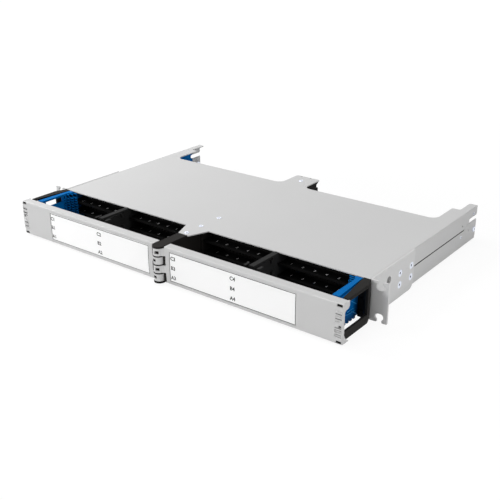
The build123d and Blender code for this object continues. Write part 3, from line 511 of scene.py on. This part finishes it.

# Painted shade: dark backs in the windows of the knuckles, each on its own door
for word, body, turn in doors:
    shape = newShape()
    play = hinge["windowPlay"]
    for top in tops[0::2] if word == "Right" else tops[1::2]:
        middle = top - tall / 2
        halfTall = hinge["windowTall"] / 2 - play
        addBlock(shape, (turn * (hinge["windowFrom"] + play), turn * (hinge["windowTo"] - play)),
                 (hinge["y"] - hinge["radius"] + hinge["windowIn"], hinge["y"] - hinge["pinOuter"]),
                 (middle - halfTall, middle + halfTall), 0)
    addPiece("knuckleWindowShade" + word, body, shape, ["deepNylon"])

# Grip of each door: painted shade in the corners of the grooves, under the ridges and in the eye of the peg hole
grip = dict(near=220.9, far=228.3, inset=0.1, ridgeInset=0.7, grooves=((10.0, 10.8), (14.6, 15.4), (17.4, 18.0)),
            grooveFront=0.35, grooveBack=0.88, ridges=((26.5, 27.2), (31.5, 32.2)), ridgeFront=-0.25, ridgeBack=0.1,
            peg=(225.05, 227.95, 18.35, 20.25), pegLevel=19.0, pegFront=0.9, pegBack=1.9)
# Painted shade in each latch slot: a dark liner, open in the middle for the tongue of the side arm
latch = dict(x=225.3, levels=(2.55, 40.45), wide=5.96, tall=2.66, tongueWide=4.0, tongueTall=1.5, ys=(-61.6, -61.2))


# The left door is the right one turned over, so its heights run from the other edge
def doorZ(z, turn):
    return z if turn > 0 else doorFace["low"] + doorFace["high"] - z


for word, body, turn in doors:
    shape = newShape()
    x0, x1 = grip["near"], grip["far"] - grip["inset"]
    for z0, z1 in grip["grooves"]:
        ys = [doorY((z0 + z1) / 2, grip[depth]) for depth in ("grooveFront", "grooveBack")]
        addBlock(shape, (turn * (x0 + grip["inset"]), turn * x1), ys, (doorZ(z0, turn), doorZ(z1, turn)), 0)
    for z0, z1 in grip["ridges"]:
        ys = [doorY((z0 + z1) / 2, grip[depth]) for depth in ("ridgeFront", "ridgeBack")]
        addBlock(shape, (turn * (x0 + grip["ridgeInset"]), turn * x1), ys, (doorZ(z0, turn), doorZ(z1, turn)), 0)
    x0, x1, z0, z1 = grip["peg"]
    ys = [doorY(grip["pegLevel"], grip[depth]) for depth in ("pegFront", "pegBack")]
    addBlock(shape, (turn * x0, turn * x1), ys, (doorZ(z0, turn), doorZ(z1, turn)), 1)
    wide, high, tongueWide, tongueHigh = (latch[key] / 2 for key in ("wide", "tall", "tongueWide", "tongueTall"))
    for level in latch["levels"]:
        for x0, x1, z0, z1 in ((-wide, -tongueWide, -high, high), (tongueWide, wide, -high, high),
                               (-tongueWide, tongueWide, -high, -tongueHigh),
                               (-tongueWide, tongueWide, tongueHigh, high)):
            xs = (turn * (latch["x"] + x0), turn * (latch["x"] + x1))
            addBlock(shape, xs, latch["ys"], (level + z0, level + z1), 1)
    addPiece("gripShade" + word, body, shape, ["gripShadeAbs", "deepNylon"])
print("doors dressed")

# Guides: stepped teeth on the combs inside with painted shade on the plates behind them, and painted highlights on the
# ribs' crests outside
combs = dict(inner=208.6, places=((-14.5, 1.6), (-10.4, 4.6), (-6.3, 7.1), (-2.3, 9.6)), low=11.0, high=40.0,
             pitch=3.4, tooth=1.6, toothFront=1.9, plateFront=0.65, back=0.45, tipRoom=0.15, rootRoom=0.1)
ribs = dict(x=211.75, proud=0.2, thick=0.7, ends=(((-28.0, 11.5), (-11.0, 9.8)), ((-26.4, 14.0), (-14.3, 13.8)),
                                                   ((-18.0, 12.0), (-5.5, 3.4)), ((-19.0, 23.3), (-9.0, 16.5))))
for side, word in sides:
    shape = newShape()
    for y, depth in combs["places"]:
        xs = (side * (combs["inner"] - depth + combs["tipRoom"]), side * (combs["inner"] - combs["rootRoom"]))
        addBlock(shape, xs, (y - combs["plateFront"], y - combs["back"]), (combs["low"], combs["high"]), 2)
        for index in range(int((combs["high"] - combs["low"]) / combs["pitch"])):
            z = combs["low"] + index * combs["pitch"]
            addBlock(shape, xs, (y - combs["toothFront"], y - combs["back"]), (z, z + combs["tooth"]), 0)
    for (y0, z0), (y1, z1) in ribs["ends"]:
        along = Vector((0, y1 - y0, z1 - z0)).normalized()
        across = Vector((0, -along.z, along.y)) * ribs["thick"] / 2
        corners = ((y0, z0, -1), (y1, z1, -1), (y1, z1, 1), (y0, z0, 1))
        xs = (side * ribs["x"], side * (ribs["x"] + ribs["proud"]))
        start = addPoints(shape, [Vector((x, y, z)) + across * sign for x in xs for y, z, sign in corners])
        boxFaces(shape, start, 1)
    addPiece("guideTeeth" + word, "chassis", shape, ["blueAbs", "ribHighlightBlue", "combShadeBlue"])
print("guides dressed")

# Painted shade: a grey disc on the cover's wall behind the round window of each ear
eye = dict(x=220.52, y=35.4, z=27.6, radius=4.3, rise=0.15, edge=0.5, steps=32)
for side, word in sides:
    place = outward(eye["x"], eye["y"], eye["z"], side)
    shape = newShape()
    profile = ((eye["radius"], 0.0), (eye["radius"], eye["rise"]), (eye["radius"] - eye["edge"], eye["rise"]))
    rings = [addPoints(shape, ringPoints(radius, height, eye["steps"]), place) for radius, height in profile]
    for lower, upper in zip(rings, rings[1:]):
        bridge(shape, lower, upper, eye["steps"], 0)
    addFace(shape, range(rings[-1], rings[-1] + eye["steps"]), 0)
    addPiece("earEye" + word, "chassis", shape, ["shadeGrey"])
print("ears dressed")

# Camera: the photograph's own view, fitted to the rack width and unit height. The focal length is in pixels
view = dict(azimuth=37.868, elevation=23.439, roll=-0.374, distance=987.9, target=(-3.36, 100.0, -20.5), focal=795.06,
            frameWide=500, sensor=36.0, nearest=0.05, furthest=20.0)


def placeCamera():
    az, el, roll = (math.radians(view[key]) for key in ("azimuth", "elevation", "roll"))
    back = Vector((math.sin(az) * math.cos(el), -math.cos(az) * math.cos(el), math.sin(el)))
    right = (-back).cross(Vector((0, 0, 1))).normalized()
    up = right.cross(-back)
    side = right * math.cos(roll) + up * math.sin(roll)
    top = -right * math.sin(roll) + up * math.cos(roll)
    spot = (Vector(view["target"]) + back * view["distance"]) * mm
    turn = Matrix((side, top, back)).transposed().to_4x4()
    lens = bpy.data.cameras.new("camera")
    lens.sensor_width = view["sensor"]
    lens.lens = view["focal"] / view["frameWide"] * view["sensor"]
    lens.clip_start = view["nearest"]
    lens.clip_end = view["furthest"]
    camera = bpy.data.objects.new("camera", lens)
    camera.matrix_world = Matrix.Translation(spot) @ turn
    bpy.context.scene.collection.objects.link(camera)
    bpy.context.scene.camera = camera


placeCamera()

# Studio: a soft ceiling, a small key from the front left, a soft lamp in front, and a near lamp beside each end.
# Places and sizes in metres, power in watts
lamps = [
    dict(name="key", place=(-1.15, -2.5, 1.30), aim=(0.0, 0.0, 0.02), size=0.28, power=15),
    dict(name="frontSoft", place=(-0.30, -2.8, 0.60), aim=(0.0, 0.0, 0.02), size=0.6, power=18),
    dict(name="rightNear", place=(0.72, -0.11, 0.22), aim=(0.22, 0.05, 0.02), size=0.3, power=1.25),
    dict(name="ceiling", place=(-0.2, 0.2, 2.5), aim=(0.0, 0.1, 0.0), size=2.0, power=30),
    dict(name="leftNear", place=(-0.75, -0.10, 0.75), aim=(-0.10, 0.05, 0.0), size=0.5, power=6.0),
]
for lamp in lamps:
    light = bpy.data.lights.new(lamp["name"], "AREA")
    light.size = lamp["size"]
    light.energy = lamp["power"]
    holder = bpy.data.objects.new(lamp["name"], light)
    holder.location = lamp["place"]
    holder.rotation_euler = (Vector(lamp["aim"]) - Vector(lamp["place"])).to_track_quat("-Z", "Y").to_euler()
    bpy.context.scene.collection.objects.link(holder)

# Sky and floor. The floor's glow rises over a distance in metres, from floorGlow to what the sky shows
studio = dict(sky="#FFFFFF", strength=0.15, seen=1.0, floorTone="#F4F4F4", floorSize=6.0, floorShade="#5C5C5C",
              floorGlow=0.90, glowNear=0.35, glowFar=1.3)


# What the camera, mirrors and glass see is white; what lights the object is weaker
def seenRays(tree):
    path = addNode(tree, "ShaderNodeLightPath")
    first = addNode(tree, "ShaderNodeMath", {"operation": "MAXIMUM"},
                    links={0: path.outputs["Is Camera Ray"], 1: path.outputs["Is Glossy Ray"]})
    either = addNode(tree, "ShaderNodeMath", {"operation": "MAXIMUM"},
                     links={0: first.outputs[0], 1: path.outputs["Is Transmission Ray"]})
    return either.outputs[0]


def makeWorld():
    world = bpy.data.worlds.new("studio")
    bpy.context.scene.world = world
    world.use_nodes = True
    tree = world.node_tree
    tree.nodes.clear()
    sky = hexLinear(studio["sky"])
    lit = addNode(tree, "ShaderNodeBackground", values={"Color": sky, "Strength": studio["strength"]})
    seen = addNode(tree, "ShaderNodeBackground", values={"Color": sky, "Strength": studio["seen"]})
    both = addNode(tree, "ShaderNodeMixShader", links={0: seenRays(tree), 1: lit.outputs[0], 2: seen.outputs[0]})
    addNode(tree, "ShaderNodeOutputWorld", links={"Surface": both.outputs[0]})


# The floor glows nearly white where it is seen, fully so further out, and its thin diffuse part keeps the shadow
def makeFloor():
    half = studio["floorSize"] / 2
    low = cadBox[0][2]
    mesh = bpy.data.meshes.new("floor")
    corners = [(-half, -half, low), (half, -half, low), (half, half, low), (-half, half, low)]
    mesh.from_pydata(corners, [], [(0, 1, 2, 3)])
    floor = bpy.data.objects.new("floor", mesh)
    bpy.context.scene.collection.objects.link(floor)
    material = bpy.data.materials.new("paleFloor")
    material.use_nodes = True
    tree = material.node_tree
    tree.nodes.clear()
    card = addNode(tree, "ShaderNodeBsdfDiffuse", values={"Color": hexLinear(studio["floorTone"])})
    shade = addNode(tree, "ShaderNodeBsdfDiffuse", values={"Color": hexLinear(studio["floorShade"])})
    place = addNode(tree, "ShaderNodeTexCoord").outputs["Object"]
    away = addNode(tree, "ShaderNodeVectorMath", {"operation": "LENGTH"}, links={0: place})
    rise = addNode(tree, "ShaderNodeMapRange", values={
        "From Min": studio["glowNear"], "From Max": studio["glowFar"],
        "To Min": studio["floorGlow"], "To Max": studio["seen"],
    }, links={"Value": away.outputs["Value"]})
    glow = addNode(tree, "ShaderNodeEmission", values={"Color": hexLinear(studio["sky"])},
                   links={"Strength": rise.outputs["Result"]})
    seen = addNode(tree, "ShaderNodeAddShader", links={0: shade.outputs[0], 1: glow.outputs[0]})
    both = addNode(tree, "ShaderNodeMixShader", links={0: seenRays(tree), 1: card.outputs[0], 2: seen.outputs[0]})
    addNode(tree, "ShaderNodeOutputMaterial", links={"Surface": both.outputs[0]})
    mesh.materials.append(material)


makeWorld()
makeFloor()
scene = bpy.context.scene
scene.view_settings.view_transform = "Standard"
print("studio ready")
